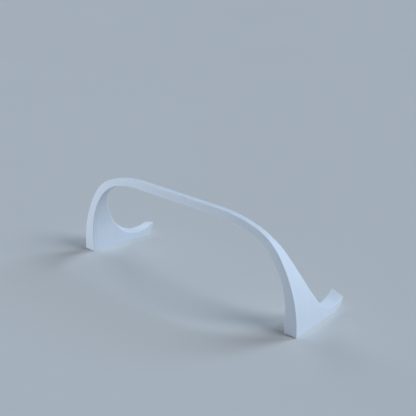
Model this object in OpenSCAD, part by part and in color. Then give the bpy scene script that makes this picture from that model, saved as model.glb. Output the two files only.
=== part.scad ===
// Game controller stand: one printed piece that holds a full-size game
// controller upright on the ends of its two grips. A thin arch stands on two
// deep legs, and the front edge of each leg is cut away into a cradle for a grip.
//
// Millimetres, +Z up. X runs across the stand, Y from the flat back face to the
// tips of the feet. Origin on the table, midway across and midway in depth. The
// profiles below measure depth from the back face.

/* [Arch] */
// Width across the outsides of the two feet
stand_width = 150; // [124:1:180]
// Height from the table to the top of the arch
stand_height = 49.5; // [47:0.5:75]
// Thickness of each leg where it meets the table
leg_thickness = 7; // [5:0.5:9]
// Thickness of the arch at its top
top_thickness = 4.2; // [3:0.1:6]
// Angle by which each leg turns inward towards its tip, in degrees
toe_in = 5.9; // [0:0.1:8]

/* [Feet and cradles] */
// Depth of the stand from the back face to the tips of the feet
foot_depth = 40; // [38:0.5:50]
// Depth of the arch at its top
top_depth = 3.2; // [2:0.1:4]
// Material left under the lowest point of a cradle
floor_thickness = 4.4; // [3:0.1:7]
// Radius of the round floor of a cradle
seat_radius = 16; // [14:0.5:18]
// Angle by which each cradle is turned in plan, to follow its spread grip
cradle_turn = 23; // [0:1:26]
// Radius at the front of each foot, under the lip
nose_radius = 7; // [4:0.5:8]

/* [Hidden] */
$fn = 240;

half_width = stand_width / 2;

// The arch's outline, seen from the back. Each side rises straight from the
// table, then follows three arcs, each tangent to the one before, up to the
// flat top. The directions in which one arc ends and the next starts are unit
// vectors from the arcs' centres, inward across and up.
arch_normals = [[1, 0], [0.8, 0.6], [0.28, 0.96], [0, 1]];
outer_radii = [56.5, 26.5, 85];
inner_radii = [38.5, 27, 53];
opening_half_width = half_width - leg_thickness;
opening_height = stand_height - top_thickness;

// Profile of a cradle, square to the grip that lies in it: a round floor and,
// tangent to it, a slack arc that the back of the grip leans on
lip_reach = 8.7;
slope_radius = 43;
floor_end_normal = [-0.8, -0.6];
slope_end_normal = [-0.96, 0.28];
seat_centre = [foot_depth - lip_reach, floor_thickness + seat_radius];
floor_end = seat_centre + seat_radius * floor_end_normal;
slope_centre = floor_end - slope_radius * floor_end_normal;
slope_end = slope_centre + slope_radius * slope_end_normal;
straight_run = 100 * [slope_end_normal[1], -slope_end_normal[0]];

// Lengths that carry a cut or a sweep clear of the part
overlap = 1;
reach = 150;

// Distances across and up that the arcs before arc i cover
function run_before(radii, i) =
    i == 0 ? [0, 0] : run_before(radii, i - 1) + radii[i - 1] * (arch_normals[i] - arch_normals[i - 1]);

// Start of arc i on an arch of the given half width and height
function arc_start(radii, i, half, high) =
    [half, high - run_before(radii, len(radii))[1]] + run_before(radii, i);

// Slice of a disc between two unit vectors
module disc_slice(centre, radius, from, to) {
    intersection() {
        translate(centre) circle(radius);
        polygon([
            centre,
            centre + 1.25 * radius * from,
            centre + 0.7 * radius * (from + to),
            centre + 1.25 * radius * to
        ]);
    }
}

// Area under the right half of an arch, carried past the middle and below the table
module half_arch_area(radii, half, high, past, below) {
    last = len(radii);
    intersection() {
        union() {
            polygon(concat(
                [[-past, -below], [half, -below]],
                [for (i = [0:last]) arc_start(radii, i, half, high)],
                [[-past, high]]
            ));
            for (i = [0:last - 1]) {
                centre = arc_start(radii, i, half, high) - radii[i] * arch_normals[i];
                disc_slice(centre, radii[i], arch_normals[i], arch_normals[i + 1]);
            }
        }
        translate([-past, -below]) square([half + past + overlap, high + below + overlap]);
    }
}

// Right half of the arch strip, as seen from the back
module half_arch() {
    difference() {
        half_arch_area(outer_radii, half_width, stand_height, overlap, overlap);
        half_arch_area(inner_radii, opening_half_width, opening_height, 2 * overlap, 2 * overlap);
    }
}

// Right half of the arch, swept forward along its leg's line. The leg is
// turned about its outer edge, so the tips of the feet come together a little.
module swept_half() {
    translate([half_width, 0, 0])
        rotate([90, 0, toe_in])
            translate([-half_width, 0, -reach])
                linear_extrude(height = reach + half_width)
                    half_arch();
}

// Side of the stand before the cradles are cut, Y across and Z up
module foot_outline() {
    high = stand_height + overlap;
    square([foot_depth - nose_radius, high]);
    translate([0, nose_radius]) square([foot_depth, high - nose_radius]);
    translate([foot_depth - nose_radius, nose_radius]) circle(nose_radius);
}

// Side of the stand, swept across its whole width
module foot_sweep() {
    translate([-half_width - overlap, 0, 0])
        rotate([90, 0, 90])
            linear_extrude(height = stand_width + 2 * overlap)
                foot_outline();
}

// Profile of the space for a grip, open to the front and the top
module grip_profile() {
    polygon([
        slope_end + straight_run,
        slope_end,
        floor_end,
        seat_centre,
        [reach, seat_centre[1]],
        [reach, reach]
    ]);
    disc_slice(slope_centre, slope_radius, slope_end_normal, floor_end_normal);
    translate(seat_centre) circle(seat_radius);
}

// Space for the right grip. It is swept along the grip's own line, turned in
// plan about the outer edge of the leg, and stays in front of the thin top.
module grip_space() {
    intersection() {
        translate([half_width, 0, 0])
            rotate([90, 0, 90 + cradle_turn])
                linear_extrude(height = 2 * reach, center = true)
                    grip_profile();
        translate([-overlap, top_depth, -reach])
            cube([half_width + 2 * overlap, reach, 2 * reach]);
    }
}

// The whole stand
module stand() {
    color([0.93, 0.94, 0.96])
        translate([0, -foot_depth / 2, 0])
            difference() {
                intersection() {
                    union() {
                        swept_half();
                        mirror([1, 0, 0]) swept_half();
                    }
                    foot_sweep();
                }
                grip_space();
                mirror([1, 0, 0]) grip_space();
            }
}

stand();
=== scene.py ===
from collections import namedtuple
from math import cos, radians, sin, tan, tau

import bpy
import numpy as np
from bpy.props import FloatProperty, FloatVectorProperty, IntProperty, PointerProperty
from mathutils import Matrix, Vector


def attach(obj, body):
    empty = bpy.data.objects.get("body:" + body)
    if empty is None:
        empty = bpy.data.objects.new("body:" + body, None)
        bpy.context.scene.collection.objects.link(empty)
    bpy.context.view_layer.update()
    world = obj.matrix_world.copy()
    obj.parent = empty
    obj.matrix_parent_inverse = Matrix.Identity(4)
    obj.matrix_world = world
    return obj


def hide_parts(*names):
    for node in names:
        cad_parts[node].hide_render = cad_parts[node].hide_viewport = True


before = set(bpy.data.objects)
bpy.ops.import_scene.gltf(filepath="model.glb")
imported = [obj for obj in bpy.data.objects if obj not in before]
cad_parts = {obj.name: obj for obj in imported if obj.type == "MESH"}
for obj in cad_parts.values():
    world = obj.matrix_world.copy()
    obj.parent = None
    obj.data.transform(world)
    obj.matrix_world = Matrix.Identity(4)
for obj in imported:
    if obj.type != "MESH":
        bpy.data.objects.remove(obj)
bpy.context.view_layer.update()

bl_info = {
    "name": "Game Controller Stand",
    "version": (1, 0, 0),
    "blender": (4, 5, 0),
    "location": "View3D > Sidebar > Stand",
    "description": "Builds a one-piece printed stand with two cradles and a plain studio round it",
    "category": "Add Mesh",
}

# Unit normals at which one arc of the arch ends and the next starts, and the arcs' radii
ARCH_NORMALS = np.array([[1.0, 0.0], [0.8, 0.6], [0.28, 0.96], [0.0, 1.0]])
OUTER_RADII = (0.0565, 0.0265, 0.085)
INNER_RADII = (0.0385, 0.027, 0.053)

# Unit normals at which a cradle's round floor and its slack arc end
FLOOR_END = np.array([-0.8, -0.6])
SLOPE_END = np.array([-0.96, 0.28])

# Points on each curve
ARC_POINTS = 400
FLOOR_POINTS = 600
NOSE_POINTS = 160
HEEL_POINTS = 12
EDGE_POINTS = 6

# How far the curves go past the stretch that is used: metres, and an angle past straight down
NOSE_RISE = 0.006
BACK_RISE = 0.01
SLOPE_RUN = 0.05
FLOOR_TURN = 0.95

# Where a leg's stations lie: metres below the thin top, metres past the floor's end, share of
# the floor's run that faces the nose, share of all stations on the leg, and each span's share
TOP_MARGIN = 0.0013
HEEL_STEP = 0.0016
NOSE_SHARE = 0.55
LEG_SHARE = 0.68
SPAN_SHARES = np.array([0.24, 0.26, 0.05, 0.45])
SPAN_LEAST = 4

# Largest share of the sheet that one rounded edge takes
EDGE_SHARE = 0.22

# Differences too small to count
SAME_POINT = 1e-9
SAME_PLACE = 1e-6
LEAST_RISE = 1e-13

# Printed plastic: stretch of its two streaked noises, and scales of the even ones
STREAK_SCALE = (12.0, 1500.0, 12.0)
BAND_SCALE = (8.0, 420.0, 8.0)
GRAIN_SCALE = 2600.0
CLOUD_SCALE = 38.0

# Printed plastic: what its colour is multiplied by in its darkest, lightest and cooler places
DARK_TINT = (0.945, 0.95, 0.96)
LIGHT_TINT = (1.03, 1.025, 1.02)
COOL_TINT = (0.97, 0.98, 1.0)

# Constants on the two shaders
PLASTIC_SHADER = {
    "IOR": 1.46,
    "Subsurface Weight": 0.12,
    "Subsurface Radius": (1.0, 0.9, 0.8),
    "Subsurface Scale": 0.0012,
    "Specular IOR Level": 0.42,
}
FLOOR_SHADER = {"Roughness": 0.85, "Specular IOR Level": 0.2}

# The two greys of the floor, and half of its width
FLOOR_GREYS = ((0.77, 0.75, 0.735, 1.0), (0.79, 0.77, 0.755, 1.0))
FLOOR_HALF = 40.0

# Far lights: name, direction towards the light, spread in degrees, strength and colour
FAR_LIGHTS = (
    ("key", (0.70, 0.20, 0.65), 28.0, 1.22, (0.78, 0.88, 1.0)),
    ("back", (0.25, 0.70, 0.67), 30.0, 1.3, (0.62, 0.81, 1.0)),
    ("side", (-0.85, 0.15, 0.50), 30.0, 0.45, (0.84, 0.91, 1.0)),
)

# Near lights, which light the piece alone: name, place, size, power and colour
NEAR_LIGHTS = (
    ("near_key", (0.40, 0.10, 0.34), 0.22, 0.40, (0.79, 0.885, 1.0)),
    ("near_fill", (-0.28, -0.26, 0.10), 0.16, 0.80, (0.81, 0.90, 1.0)),
)
LIGHT_AIM = (0.0, 0.0, 0.02)

# The world's faint light, its strength, and the grey that shows behind the floor
AROUND_COLOUR = (0.755, 0.875, 1.0, 1.0)
AROUND_STRENGTH = 0.05
BEHIND_GREY = (0.363, 0.422, 0.484, 1.0)

# The camera's sensor in millimetres, and the nearest distance it sees in metres
SENSOR_WIDTH = 36.0
NEAREST = 0.01


def length(name, description, default, low=0.0, high=1.0):
    """A distance property in metres."""
    return FloatProperty(name=name, description=description, default=default, min=low, max=high,
                         subtype="DISTANCE", unit="LENGTH", precision=5)


def angle(name, description, degrees):
    """An angle property, given in degrees."""
    return FloatProperty(name=name, description=description, default=radians(degrees),
                         subtype="ANGLE", unit="ROTATION")


def count(name, description, default, low, high):
    """A whole-number property."""
    return IntProperty(name=name, description=description, default=default, min=low, max=high)


class StandSizes(bpy.types.PropertyGroup):
    """Sizes of the printed piece, the same as those of the solid it stands for."""
    width: length("Width", "Distance across the outsides of the two feet", 0.150)
    height: length("Height", "Height of the arch's top above the table", 0.0495)
    leg: length("Leg thickness", "Thickness of a leg at the table", 0.007)
    top: length("Top thickness", "Thickness of the arch at its top", 0.0042)
    toe_in: angle("Toe-in", "Angle by which each leg turns inward towards its tip", 5.9)
    depth: length("Depth", "Distance from the back face to the tips of the feet", 0.040)
    top_depth: length("Top depth", "Depth of the arch at its top", 0.0032)
    floor: length("Cradle floor", "Material under the lowest point of a cradle", 0.0044)
    seat_radius: length("Seat radius", "Radius of a cradle's round floor", 0.016)
    cradle_turn: angle("Cradle turn", "Angle by which each cradle is turned in plan", 23.0)
    nose: length("Nose radius", "Radius at the front of a foot, under its lip", 0.007)
    lip_reach: length("Lip reach", "From the seat's centre to the front of the foot", 0.0087)
    slope_radius: length("Slope radius", "Radius of the slack arc above the seat", 0.043)
    blend: length("Blend", "Softness of the bend where the slope meets the thin top", 0.0006)
    edge: length("Edge radius", "Radius of the printed piece's softened edges", 0.00035)


class StandDetail(bpy.types.PropertyGroup):
    """How finely the surface is divided."""
    across: count("Across", "Divisions across the sheet", 16, 4, 60)
    through: count("Through", "Divisions through the thickness", 6, 2, 20)
    along: count("Along", "Divisions along one half of the piece", 300, 60, 900)


class PlasticLook(bpy.types.PropertyGroup):
    """The look of the matte printed plastic."""
    colour: FloatVectorProperty(name="Colour", description="Colour of the plastic", size=3,
                                subtype="COLOR", default=(0.80, 0.85, 0.92), min=0.0, max=1.0)
    layer: length("Layer height", "Height of one printed layer", 0.0002, 0.00005, 0.001)
    bead: length("Bead width", "Width of one printed line on the back face", 0.00045, 0.0001,
                 0.001)


class StageSettings(bpy.types.PropertyGroup):
    """The camera's place, direction and lens."""
    camera_at: FloatVectorProperty(name="Camera", description="Where the camera stands", size=3,
                                   subtype="XYZ", unit="LENGTH",
                                   default=(0.30221, -0.30798, 0.19512))
    azimuth: angle("Azimuth", "Direction of view, turned from +Y towards -X", 44.454)
    pitch: angle("Pitch", "How far the camera looks down", 20.031)
    roll: angle("Roll", "Turn of the camera about its line of sight", 0.126)
    focal_pixels: FloatProperty(name="Focal length", default=915.37, min=100.0, max=5000.0,
                                description="Focal length in pixels of the picture")
    picture: IntProperty(name="Picture", description="Width of the picture in pixels",
                         default=416)


# Each group of settings under the name that it has on the scene, with its label
GROUPS = {
    "stand_sizes": (StandSizes, "Sizes"),
    "stand_detail": (StandDetail, "Detail"),
    "stand_plastic": (PlasticLook, "Plastic"),
    "stand_stage": (StageSettings, "Studio"),
}

# Depth and run along the arch curve of a face's back edge and front edge, at each station
Face = namedtuple("Face", "back back_run front front_run")


def arc(centre, radius, start, end, points):
    """Points on a circle: its centre plus the radius times (cosine, sine) of even angles."""
    turn = np.linspace(start, end, points)
    return np.asarray(centre) + radius * np.stack([np.cos(turn), np.sin(turn)], axis=1)


def heading(vector):
    """Angle of a plane vector, from zero to a full turn."""
    return np.arctan2(vector[1], vector[0]) % (2 * np.pi)


def chain(*pieces):
    """Polylines joined end to end, without repeated points."""
    points = np.concatenate(pieces)
    keep = np.r_[True, np.hypot(*np.diff(points, axis=0).T) > SAME_POINT]
    return points[keep]


def lengths(points):
    """Distance along a polyline at each of its points."""
    return np.r_[0.0, np.cumsum(np.hypot(*np.diff(points, axis=0).T))]


def along(points, distances):
    """Points at the given distances along a polyline."""
    run = lengths(points)
    return np.stack([np.interp(distances, run, column) for column in points.T], axis=-1)


def arch_curve(half, high, radii):
    """Half of the arch's outline, from the table up and inward to the middle.

    A straight rise comes first, then three arcs, each tangent to the one before. Each arc's
    centre lies on the last arc's end normal, one radius back, and its end is that centre plus
    the radius times the next normal. A flat top closes it at the middle.
    """
    steps = np.diff(ARCH_NORMALS, axis=0) * np.asarray(radii)[:, None]
    point = np.array([half, high - steps[:, 1].sum()])
    parts = [np.array([[half, 0.0], point])]
    for radius, start, end in zip(radii, ARCH_NORMALS[:-1], ARCH_NORMALS[1:]):
        centre = point - radius * start
        parts.append(arc(centre, radius, heading(start), heading(end), ARC_POINTS))
        point = centre + radius * end
    parts.append(np.array([point, [0.0, high]]))
    return chain(*parts)


def cradle_profile(s):
    """Profile of a cradle, square to its own line, and the run along it at which its floor ends.

    The round floor comes down from beyond the lip, passes under the seat's centre and ends at a
    normal of (-0.8, -0.6). A slack arc, tangent to it, leads up past its steepest point to a
    normal of (-0.96, 0.28), and a straight line goes on from there.
    """
    centre = np.array([s.depth - s.lip_reach, s.floor + s.seat_radius])
    start = 1.5 * np.pi + FLOOR_TURN
    floor = arc(centre, s.seat_radius, start, heading(FLOOR_END), FLOOR_POINTS)
    slope_centre = centre + (s.seat_radius - s.slope_radius) * FLOOR_END
    slope = arc(slope_centre, s.slope_radius, heading(FLOOR_END), heading(SLOPE_END), ARC_POINTS)
    line = slope[-1] + SLOPE_RUN * np.array([[SLOPE_END[1], -SLOPE_END[0]]])
    return chain(floor, slope, line), s.seat_radius * (start - heading(FLOOR_END))


def foot_curve(s):
    """Front, underside and back in the side view, from above the nose to above the arch.

    A quarter circle makes the nose, the underside is straight, and a very small arc rounds the
    heel before the back face rises. Also returns the runs at which the nose, the underside and
    the heel end.
    """
    front = np.array([[s.depth, s.nose + NOSE_RISE]])
    nose = arc([s.depth - s.nose, s.nose], s.nose, 0.0, -np.pi / 2, NOSE_POINTS)
    heel = arc([s.edge, s.edge], s.edge, -np.pi / 2, -np.pi, HEEL_POINTS)
    top = np.array([[0.0, s.height + BACK_RISE]])
    nose_end = NOSE_RISE + s.nose * np.pi / 2
    under_end = nose_end + s.depth - s.nose - s.edge
    heel_end = under_end + s.edge * np.pi / 2
    return chain(front, nose, heel, top), (nose_end, under_end, heel_end)


def rising_heights(curve):
    """Heights along an arch curve, lifted by the least amount that keeps each above the last."""
    return np.maximum.accumulate(curve[:, 1]) + np.arange(len(curve)) * LEAST_RISE


def across_at(curve, heights):
    """Distance across from the middle to an arch curve at the given heights."""
    return np.interp(heights, rising_heights(curve), curve[:, 0])


def run_at(curve, heights):
    """Distance along an arch curve from the table to the given heights."""
    return np.interp(heights, rising_heights(curve), lengths(curve))


def soft_max(value, least, softness):
    """The greater of two values, with a smooth passage where they cross."""
    return 0.5 * (value + least + np.sqrt((value - least) ** 2 + softness ** 2))


def depth_on_face(s, curve, profile):
    """Depth at which a cradle's profile comes out of one face of a leg, at the profile's heights.

    The profile is swept along a line turned in plan by the cradle's turn, about the leg's outer
    edge, and the face moves inward with depth by the tangent of the toe-in. Both are straight in
    plan at a given height, so their crossing is the solution of two linear equations.
    """
    across = (s.width / 2 - across_at(curve, profile[:, 1])) / cos(s.toe_in)
    depth = profile[:, 0] / cos(s.cradle_turn) - across * tan(s.cradle_turn)
    return depth / (1 + tan(s.toe_in) * tan(s.cradle_turn))


def face_outline(s, curve, knots, into):
    """Back and front edge of one face of a leg and its half of the arch, at matching stations.

    Knots 0 to 4 stand for the tip of the lip, the end of the nose, the two sides of the heel and
    the start of the thin top. From there the stations follow the arch to its middle. The tip of
    the lip is where the cradle's profile comes out through the front of the foot.
    """
    profile, floor_end = cradle_profile(s)
    foot, (nose_end, under_end, heel_end) = foot_curve(s)
    foot_run, profile_run = lengths(foot), lengths(profile)
    depth = depth_on_face(s, curve, profile)

    nose = foot_run < nose_end
    nose_depth = np.interp(profile[:, 1], foot[nose][::-1, 1], foot[nose][::-1, 0])
    first = np.argmax(depth < nose_depth)
    crossing = slice(first - 1, first + 1)
    tip_run = np.interp(0.0, (nose_depth - depth)[crossing], profile_run[crossing])
    tip_height = np.interp(tip_run, profile_run, profile[:, 1])
    tip_foot = np.interp(s.edge - tip_height, -foot[nose][:, 1], foot_run[nose])

    top_start = s.height - s.top - TOP_MARGIN
    rising = profile_run > floor_end
    top_run = np.interp(top_start, profile[rising, 1], profile_run[rising])
    top_foot = heel_end + top_start - s.edge
    marks = np.arange(5)
    foot_at = np.interp(knots, marks, [tip_foot, nose_end, under_end, heel_end, top_foot])
    cradle_at = np.interp(knots, marks, [tip_run, NOSE_SHARE * floor_end, floor_end,
                                         floor_end + HEEL_STEP, top_run])
    back, front = along(foot, foot_at), along(profile, cradle_at)

    whole, start = lengths(curve)[-1], run_at(curve, top_start)
    top_runs = start + into * (whole - start)
    top_height = along(curve, top_runs)[:, 1]
    top_depth = np.interp(top_height, profile[rising, 1], profile[rising, 0])
    over = np.stack([top_depth, top_height], axis=1)
    return Face(
        back=np.r_[back[:, 0], np.zeros(len(into))],
        back_run=np.r_[run_at(curve, back[:, 1]), top_runs],
        front=np.r_[np.interp(cradle_at, profile_run, depth), depth_on_face(s, curve, over)],
        front_run=np.r_[run_at(curve, front[:, 1]), top_runs],
    )


def stations(detail):
    """Knots of the stations on the leg, and fractions of the way along the arch for the rest.

    The leg takes a fixed share of the stations, and each span between two knots its own share of
    those.
    """
    on_leg = int(detail.along * LEG_SHARE)
    counts = np.maximum((SPAN_SHARES * on_leg).astype(int), SPAN_LEAST)
    spans = [k + np.linspace(0, 1, steps, endpoint=False) for k, steps in enumerate(counts)]
    knots = np.concatenate(spans + [[float(len(counts))]])
    into = np.linspace(0, 1, detail.along - len(knots) + 1)[1:]
    return knots, into


def section_sizes(s, curves, inner, outer):
    """Thickness of the sheet, between its faces' middles, and its width from back to front."""
    middles = [along(curve, (face.back_run + face.front_run) / 2)
               for curve, face in zip(curves, (inner, outer))]
    thick = np.hypot(*(middles[1] - middles[0]).T)
    front = soft_max((inner.front + outer.front) / 2, s.top_depth, s.blend)
    deep = front - (inner.back + outer.back) / 2
    rise = (inner.front_run - inner.back_run + outer.front_run - outer.back_run) / 2
    return thick, np.hypot(deep, rise)


def loop_pattern(s, width, thick, across, through):
    """Points round one cross-section, as fractions across the sheet and through it.

    The four edges are quarter circles of one small radius. Where the sheet gets thinner than
    four radii the radius shrinks with it. A support row two radii from each edge keeps the
    shading of the faces flat. Returns arrays of one row for each station.
    """
    edge_p = np.minimum(s.edge / width, EDGE_SHARE)[:, None]
    edge_q = np.minimum(s.edge / thick, EDGE_SHARE)[:, None]
    face = np.linspace(0, 1, across)[None, :]
    side = np.linspace(0, 1, through)[None, :]
    quarter = np.linspace(0, np.pi / 2, EDGE_POINTS)[None, :]
    run_p = 2 * edge_p + face * (1 - 4 * edge_p)
    run_q = 2 * edge_q + side * (1 - 4 * edge_q)
    near, far = 1 - np.sin(quarter), 1 - np.cos(quarter)
    ones_p, ones_q = np.ones_like(run_p), np.ones_like(run_q)
    p = [run_p, 1 - edge_p * near, ones_q, 1 - edge_p * far,
         run_p[:, ::-1], edge_p * near, 0 * ones_q, edge_p * far]
    q = [ones_p, 1 - edge_q * far, run_q[:, ::-1], edge_q * near,
         0 * ones_p, edge_q * far, run_q, 1 - edge_q * near]
    return np.concatenate(p, axis=1), np.concatenate(q, axis=1)


def half_grid(s, curves, faces, fade, p, q):
    """Points of the right half, one row for each station.

    Each face is ruled between its back edge and its front edge, in depth and in run along its
    arch curve, by the fraction p. A point lies between the two faces by its fraction q. It moves
    inward with its depth by the tangent of the toe-in, and that move fades out along the top.
    """
    inner, outer = faces
    half = s.width / 2
    back = inner.back[:, None] * (1 - q) + outer.back[:, None] * q
    front = inner.front[:, None] * (1 - q) + outer.front[:, None] * q
    depth = back * (1 - p) + soft_max(front, s.top_depth, s.blend) * p
    points = []
    for curve, face in zip(curves, faces):
        run = face.back_run[:, None] * (1 - p) + face.front_run[:, None] * p
        place = along(curve, run.ravel()).reshape(run.shape + (2,))
        turned = half + (place[..., 0] - half) / cos(s.toe_in) - depth * tan(s.toe_in)
        x = turned * (1 - fade) + place[..., 0] * fade
        points.append(np.stack([x, depth - s.depth / 2, place[..., 1]], axis=-1))
    grid = points[0] * (1 - q[..., None]) + points[1] * q[..., None]
    grid[-1, :, 0] = 0.0
    return grid


def stand_surface(s, detail):
    """Vertices, quads, end caps and per-vertex values of the whole stand.

    The right half is a grid of stations along it and points round its cross-section. The left
    half is its mirror image. The values are the distance through the sheet from its inner face,
    the sheet's thickness, and whether a point lies on the back face.
    """
    knots, into = stations(detail)
    fade = np.r_[np.zeros(len(knots)), into][:, None]
    half = s.width / 2
    curves = (arch_curve(half - s.leg, s.height - s.top, INNER_RADII),
              arch_curve(half, s.height, OUTER_RADII))
    inner, outer = faces = [face_outline(s, curve, knots, into) for curve in curves]
    thick, width = section_sizes(s, curves, inner, outer)
    p, q = loop_pattern(s, width, thick, detail.across, detail.through)
    grid = half_grid(s, curves, faces, fade, p, q)
    whole = np.concatenate([grid, grid[-2::-1] * np.array([-1.0, 1.0, 1.0])])
    rows, loop = whole.shape[:2]
    index = np.arange(rows * loop).reshape(rows, loop)
    after = np.roll(index, -1, axis=1)
    quads = np.stack([index[:-1], after[:-1], after[1:], index[1:]], axis=-1).reshape(-1, 4)
    values = {
        "through": q * thick[:, None],
        "sheet": np.broadcast_to(thick[:, None], q.shape),
        "on_back": (p < SAME_PLACE) & (outer.back < SAME_PLACE)[:, None],
    }
    values = {name: np.concatenate([v, v[-2::-1]]).ravel() for name, v in values.items()}
    return whole.reshape(-1, 3), quads, [index[0], index[-1][::-1]], values


def mesh_object(name, verts, quads, caps, collection):
    """A mesh object from whole arrays, with its faces turned outwards.

    The sum of the triple products of the faces' corners has the sign of the enclosed volume.
    """
    a, b, c, d = (verts[quads[:, k]] for k in range(4))
    volume = np.einsum("ij,ij->i", a, np.cross(b, c)).sum()
    volume += np.einsum("ij,ij->i", a, np.cross(c, d)).sum()
    if volume < 0:
        quads = quads[:, ::-1]
    caps = [list(map(int, cap[::-1] if volume > 0 else cap)) for cap in caps]
    mesh = bpy.data.meshes.new(name)
    mesh.from_pydata(verts.tolist(), [], quads.tolist() + caps)
    mesh.validate()
    mesh.polygons.foreach_set("use_smooth", np.ones(len(mesh.polygons), dtype=bool))
    obj = bpy.data.objects.new(name, mesh)
    collection.objects.link(obj)
    return obj


def add_attribute(mesh, name, values):
    """A float value for each vertex, under a name that the material reads."""
    layer = mesh.attributes.new(name, "FLOAT", "POINT")
    layer.data.foreach_set("value", np.asarray(values, dtype=np.float32))


class Nodes:
    """Short calls for building a node material."""

    def __init__(self, name):
        self.material = bpy.data.materials.new(name)
        self.material.use_nodes = True
        self.tree = self.material.node_tree
        self.shader = self.tree.nodes["Principled BSDF"]

    def add(self, kind, **settings):
        """A new node with the given settings."""
        node = self.tree.nodes.new(kind)
        for key, value in settings.items():
            setattr(node, key, value)
        return node

    def link(self, source, target):
        """Join an output to an input."""
        self.tree.links.new(source, target)

    def put(self, socket, value):
        """Join an output to an input, or give the input a constant."""
        if isinstance(value, bpy.types.NodeSocket):
            self.link(value, socket)
        else:
            socket.default_value = value

    def constants(self, values):
        """Constants on the shader's own sockets."""
        for key, value in values.items():
            self.shader.inputs[key].default_value = value

    def place(self):
        """Object coordinates."""
        return self.add("ShaderNodeTexCoord").outputs["Object"]

    def attribute(self, name):
        """The value of a vertex attribute."""
        return self.add("ShaderNodeAttribute", attribute_name=name).outputs["Fac"]

    def math(self, operation, a, b=0.0):
        """One arithmetic step on two values."""
        node = self.add("ShaderNodeMath", operation=operation)
        self.put(node.inputs[0], a)
        self.put(node.inputs[1], b)
        return node.outputs[0]

    def waves(self, distance, period):
        """Sine waves of a distance."""
        return self.math("SINE", self.math("MULTIPLY", distance, tau / period))

    def total(self, *terms):
        """Sum of values, each multiplied by its weight."""
        products = [self.math("MULTIPLY", value, weight) for value, weight in terms]
        result = products[0]
        for product in products[1:]:
            result = self.math("ADD", result, product)
        return result

    def scaled(self, vector, scale):
        """A vector scaled along each axis."""
        node = self.add("ShaderNodeMapping")
        self.link(vector, node.inputs["Vector"])
        node.inputs["Scale"].default_value = scale
        return node.outputs[0]

    def noise(self, vector, scale, detail, roughness=0.5):
        """Smooth noise from 0 to 1."""
        node = self.add("ShaderNodeTexNoise")
        self.link(vector, node.inputs["Vector"])
        node.inputs["Scale"].default_value = scale
        node.inputs["Detail"].default_value = detail
        node.inputs["Roughness"].default_value = roughness
        return node.outputs["Fac"]

    def remap(self, value, low, high, out_low, out_high):
        """A value's range moved to another range, and clamped to it."""
        node = self.add("ShaderNodeMapRange")
        self.link(value, node.inputs["Value"])
        limits = {"From Min": low, "From Max": high, "To Min": out_low, "To Max": out_high}
        for key, number in limits.items():
            node.inputs[key].default_value = number
        return node.outputs["Result"]

    def mix_value(self, factor, a, b):
        """A value between a and b."""
        node = self.add("ShaderNodeMix", data_type="FLOAT")
        self.put(node.inputs[0], factor)
        self.put(node.inputs[2], a)
        self.put(node.inputs[3], b)
        return node.outputs[0]

    def mix_colour(self, factor, a, b):
        """A colour between a and b."""
        node = self.add("ShaderNodeMix", data_type="RGBA")
        self.put(node.inputs[0], factor)
        self.put(node.inputs[6], a)
        self.put(node.inputs[7], b)
        return node.outputs[2]

    def bump(self, height, strength, distance):
        """Small relief on the shader, from a height and a distance in metres."""
        node = self.add("ShaderNodeBump")
        node.inputs["Strength"].default_value = strength
        node.inputs["Distance"].default_value = distance
        self.link(height, node.inputs["Height"])
        self.link(node.outputs["Normal"], self.shader.inputs["Normal"])


def tinted(colour, tint):
    """A colour multiplied by a tint, held to 1, with an alpha."""
    return tuple(min(part * factor, 1.0) for part, factor in zip(colour, tint)) + (1.0,)


def printed_plastic(look):
    """Matte white printed plastic.

    Layers lie parallel to the back face, so their fine ridges are waves of depth. The back face
    itself shows the printed lines that follow the arch's edges, as waves of the distance from the
    nearer edge of the sheet. Both are weak, as on a careful print, with a little change of tone
    and sheen from layer to layer and a fine grain over all.
    """
    n = Nodes("printed_plastic")
    place = n.place()
    axes = n.add("ShaderNodeSeparateXYZ")
    n.link(place, axes.inputs[0])
    x, y, z = (axes.outputs[key] for key in "XYZ")
    on_back, through, sheet = (n.attribute(name) for name in ("on_back", "through", "sheet"))

    rim = n.math("MINIMUM", through, n.math("SUBTRACT", sheet, through))
    on_side = n.math("SUBTRACT", 1.0, on_back)
    lines = n.total((n.waves(y, look.layer), on_side), (n.waves(rim, look.bead), on_back))
    drift = n.add("ShaderNodeCombineXYZ")
    n.link(x, drift.inputs["X"])
    n.link(n.mix_value(on_back, y, rim), drift.inputs["Y"])
    n.link(z, drift.inputs["Z"])
    streak = n.noise(n.scaled(drift.outputs[0], STREAK_SCALE), scale=1.0, detail=2.0)
    bands = n.noise(n.scaled(drift.outputs[0], BAND_SCALE), scale=1.0, detail=2.0)
    grain = n.noise(place, GRAIN_SCALE, detail=3.0, roughness=0.6)
    cloud = n.noise(place, CLOUD_SCALE, detail=3.0)

    tone = n.total((streak, 0.65), (bands, 0.35))
    toned = n.mix_colour(n.remap(tone, 0.3, 0.7, out_low=0.0, out_high=1.0),
                         tinted(look.colour, DARK_TINT), tinted(look.colour, LIGHT_TINT))
    base = n.mix_colour(n.remap(cloud, 0.35, 0.65, out_low=0.0, out_high=0.35),
                        toned, tinted(look.colour, COOL_TINT))
    sheen = n.remap(n.math("ADD", bands, grain), 0.7, 1.3, out_low=0.5, out_high=0.62)
    n.link(base, n.shader.inputs["Base Color"])
    n.link(sheen, n.shader.inputs["Roughness"])
    n.bump(n.total((lines, 0.5), (grain, 0.5), (streak, 1.6)), strength=0.3, distance=0.00006)
    n.constants(PLASTIC_SHADER)
    return n.material


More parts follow.
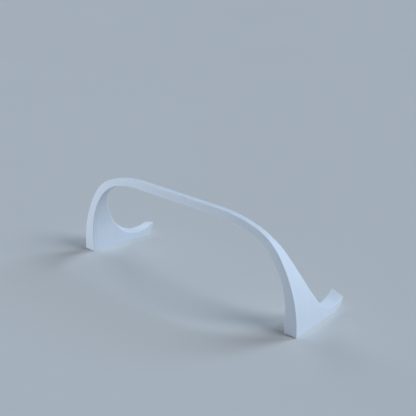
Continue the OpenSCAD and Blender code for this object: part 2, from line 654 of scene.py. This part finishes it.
def floor_paint():
    """Pale floor: one soft grey with a faint, slow change of tone and a very fine tooth."""
    n = Nodes("pale_floor")
    place = n.place()
    cloud = n.noise(place, scale=3.0, detail=2.0)
    tooth = n.noise(place, scale=900.0, detail=2.0)
    base = n.mix_colour(n.remap(cloud, 0.3, 0.7, out_low=0.0, out_high=1.0), *FLOOR_GREYS)
    n.link(base, n.shader.inputs["Base Color"])
    n.bump(tooth, strength=0.05, distance=0.0002)
    n.constants(FLOOR_SHADER)
    return n.material


class STAND_OT_body(bpy.types.Operator):
    """Build the printed piece in place of its plain solid"""
    bl_idname = "stand.body"
    bl_label = "Printed Stand"
    bl_options = {"REGISTER", "UNDO"}

    def execute(self, context):
        scene = context.scene
        verts, quads, caps, values = stand_surface(scene.stand_sizes, scene.stand_detail)
        if not np.isfinite(verts).all():
            raise RuntimeError("the stand's surface has points that aren't numbers")
        obj = mesh_object("stand_body", verts, quads, caps, scene.collection)
        if len(obj.data.vertices) != len(verts):
            raise RuntimeError("the stand's mesh lost some of its points")
        for name, numbers in values.items():
            add_attribute(obj.data, name, numbers)
        obj.data.materials.append(printed_plastic(scene.stand_plastic))
        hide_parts("stand")
        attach(obj, "root")
        return {"FINISHED"}


def near_light(name, at, size, power, colour, lit, collection):
    """A soft square lamp that faces the piece and lights only what one collection holds."""
    data = bpy.data.lights.new(name, "AREA")
    data.shape = "SQUARE"
    data.size = size
    data.energy = power
    data.color = colour
    obj = bpy.data.objects.new(name, data)
    obj.location = at
    obj.rotation_euler = (Vector(LIGHT_AIM) - Vector(at)).to_track_quat("-Z", "Y").to_euler()
    obj.visible_camera = False
    obj.light_linking.receiver_collection = lit
    collection.objects.link(obj)


def far_light(name, toward, spread, strength, colour, collection):
    """An even light from far away. Its spread softens the shadows as a large lamp's size does."""
    data = bpy.data.lights.new(name, "SUN")
    data.angle = radians(spread)
    data.energy = strength
    data.color = colour
    obj = bpy.data.objects.new(name, data)
    obj.rotation_euler = Vector(toward).to_track_quat("Z", "Y").to_euler()
    collection.objects.link(obj)


def backdrop():
    """A world that lights the piece faintly from all round and shows as a pale grey."""
    world = bpy.data.worlds.new("studio")
    world.use_nodes = True
    tree = world.node_tree
    around = tree.nodes["Background"]
    around.inputs["Color"].default_value = AROUND_COLOUR
    around.inputs["Strength"].default_value = AROUND_STRENGTH
    behind = tree.nodes.new("ShaderNodeBackground")
    behind.inputs["Color"].default_value = BEHIND_GREY
    path = tree.nodes.new("ShaderNodeLightPath")
    choice = tree.nodes.new("ShaderNodeMixShader")
    tree.links.new(path.outputs["Is Camera Ray"], choice.inputs[0])
    tree.links.new(around.outputs[0], choice.inputs[1])
    tree.links.new(behind.outputs[0], choice.inputs[2])
    tree.links.new(choice.outputs[0], tree.nodes["World Output"].inputs["Surface"])
    return world


def studio_floor(collection):
    """One large square at the height of the table."""
    h = FLOOR_HALF
    mesh = bpy.data.meshes.new("floor")
    mesh.from_pydata([(-h, -h, 0), (h, -h, 0), (h, h, 0), (-h, h, 0)], [], [(0, 1, 2, 3)])
    floor = bpy.data.objects.new("floor", mesh)
    floor.data.materials.append(floor_paint())
    collection.objects.link(floor)


def studio_camera(stage, collection):
    """The camera, turned by its azimuth, then its pitch, then its roll.

    Its axes are the level direction to its right, the direction of view, and their cross
    product. The roll turns the first and the last about the direction of view.
    """
    right = Vector((cos(stage.azimuth), sin(stage.azimuth), 0.0))
    ahead = Vector((-sin(stage.azimuth) * cos(stage.pitch),
                    cos(stage.azimuth) * cos(stage.pitch), -sin(stage.pitch)))
    up = right.cross(ahead)
    side = right * cos(stage.roll) + up * sin(stage.roll)
    up = up * cos(stage.roll) - right * sin(stage.roll)
    data = bpy.data.cameras.new("camera")
    data.sensor_width = SENSOR_WIDTH
    data.lens = stage.focal_pixels / stage.picture * SENSOR_WIDTH
    data.clip_start = NEAREST
    data.dof.use_dof = False
    camera = bpy.data.objects.new("camera", data)
    turn = Matrix((side, up, -ahead)).transposed()
    camera.matrix_world = Matrix.Translation(Vector(stage.camera_at)) @ turn.to_4x4()
    collection.objects.link(camera)
    return camera


class STAND_OT_stage(bpy.types.Operator):
    """Set up the floor, the light and the camera"""
    bl_idname = "stand.stage"
    bl_label = "Studio"
    bl_options = {"REGISTER", "UNDO"}

    def execute(self, context):
        scene = context.scene
        studio_floor(scene.collection)
        for light in FAR_LIGHTS:
            far_light(*light, scene.collection)
        lit = bpy.data.collections.new("lit_piece")
        lit.objects.link(bpy.data.objects["stand_body"])
        for light in NEAR_LIGHTS:
            near_light(*light, lit, scene.collection)
        scene.world = backdrop()
        scene.camera = studio_camera(scene.stand_stage, scene.collection)
        scene.view_settings.view_transform = "Standard"
        return {"FINISHED"}


class STAND_PT_panel(bpy.types.Panel):
    """Settings and buttons of the stand"""
    bl_idname = "STAND_PT_panel"
    bl_label = "Game Controller Stand"
    bl_space_type = "VIEW_3D"
    bl_region_type = "UI"
    bl_category = "Stand"

    def draw(self, context):
        layout = self.layout
        for name, (_, label) in GROUPS.items():
            group = getattr(context.scene, name)
            box = layout.box()
            box.label(text=label)
            for key in group.bl_rna.properties.keys():
                if key not in {"rna_type", "name"}:
                    box.prop(group, key)
        layout.operator(STAND_OT_body.bl_idname)
        layout.operator(STAND_OT_stage.bl_idname)


CLASSES = (*(group for group, _ in GROUPS.values()), STAND_OT_body, STAND_OT_stage,
           STAND_PT_panel)


def register():
    """Register the classes and put each group of settings on the scene."""
    for cls in CLASSES:
        bpy.utils.register_class(cls)
    for name, (group, _) in GROUPS.items():
        setattr(bpy.types.Scene, name, PointerProperty(type=group))


def unregister():
    """Take the settings and the classes away again."""
    for name in GROUPS:
        delattr(bpy.types.Scene, name)
    for cls in reversed(CLASSES):
        bpy.utils.unregister_class(cls)


def main():
    """Build the piece and its studio."""
    register()
    bpy.ops.stand.body()
    bpy.ops.stand.stage()


if __name__ == "__main__":
    main()
